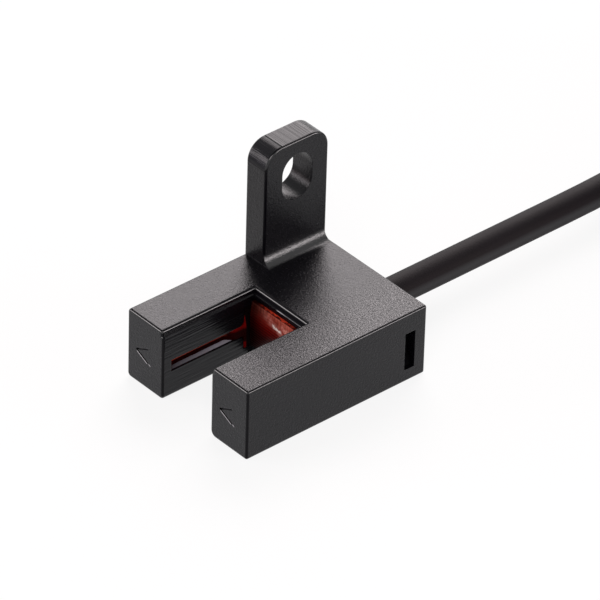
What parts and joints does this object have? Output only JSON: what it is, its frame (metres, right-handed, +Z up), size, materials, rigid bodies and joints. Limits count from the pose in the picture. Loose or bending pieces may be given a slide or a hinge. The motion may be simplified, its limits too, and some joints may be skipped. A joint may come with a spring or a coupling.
{
  "type": "fork sensor",
  "caption": "Forked light-barrier sensor: black U-shaped housing with a red light insert in its slot, an upright slotted mounting tab and an attached cable.",
  "frame": {"origin": "centre of the housing's underside, which it rests on", "axes": "+Z up from the underside; -Y the way the prongs point, so the cable leaves along +Y; +X from the tab's side to the other side"},
  "size_m": [0.0322, 0.0874, 0.0176],
  "materials": {
    "black_housing": "fine grained black moulding",
    "red_clear": "smooth clear red",
    "black_cover": "satin black moulding",
    "board_green": "solder-masked laminate",
    "emitter_resin": "clear bluish resin",
    "receiver_resin": "dark infrared-pass resin",
    "tinned_lead": "tinned",
    "led_white": "white body with clear window",
    "chip_black": "moulded epoxy",
    "resistor_black": "glazed",
    "ceramic_tan": "ceramic",
    "solder": "bright solder",
    "core_brown": "extruded insulation",
    "core_black": "extruded insulation",
    "core_white": "extruded insulation",
    "core_blue": "extruded insulation",
    "clamp_brass": "plain",
    "seal_resin": "cast resin",
    "cable_jacket": "satin extruded jacket",
    "tie_black": "satin",
    "tinned_copper": "tinned strands"
  },
  "bodies": {
    "root": {"housing": "black_housing", "slit_cover": "red_clear", "bottom_cover": "black_cover", "circuit_board": "board_green", "emitter": "emitter_resin", "receiver": "receiver_resin", "emitter_leads": "tinned_lead", "receiver_leads": "tinned_lead", "indicator_led": "led_white", "amplifier_chip": "chip_black", "output_transistor": "chip_black", "protection_diode": "chip_black", "resistors": "resistor_black", "capacitors": "ceramic_tan", "solder_joints": "solder", "core_brown": "core_brown", "core_black": "core_black", "core_white": "core_white", "core_blue": "core_blue", "cable_clamp": "clamp_brass", "cable_seal": "seal_resin", "cable_run": "cable_jacket", "cable_coil": "cable_jacket", "coil_tie": "tie_black", "end_core_brown": "core_brown", "end_core_black": "core_black", "end_core_white": "core_white", "end_core_blue": "core_blue", "core_tips": "tinned_copper"}
  },
  "joints": []
}
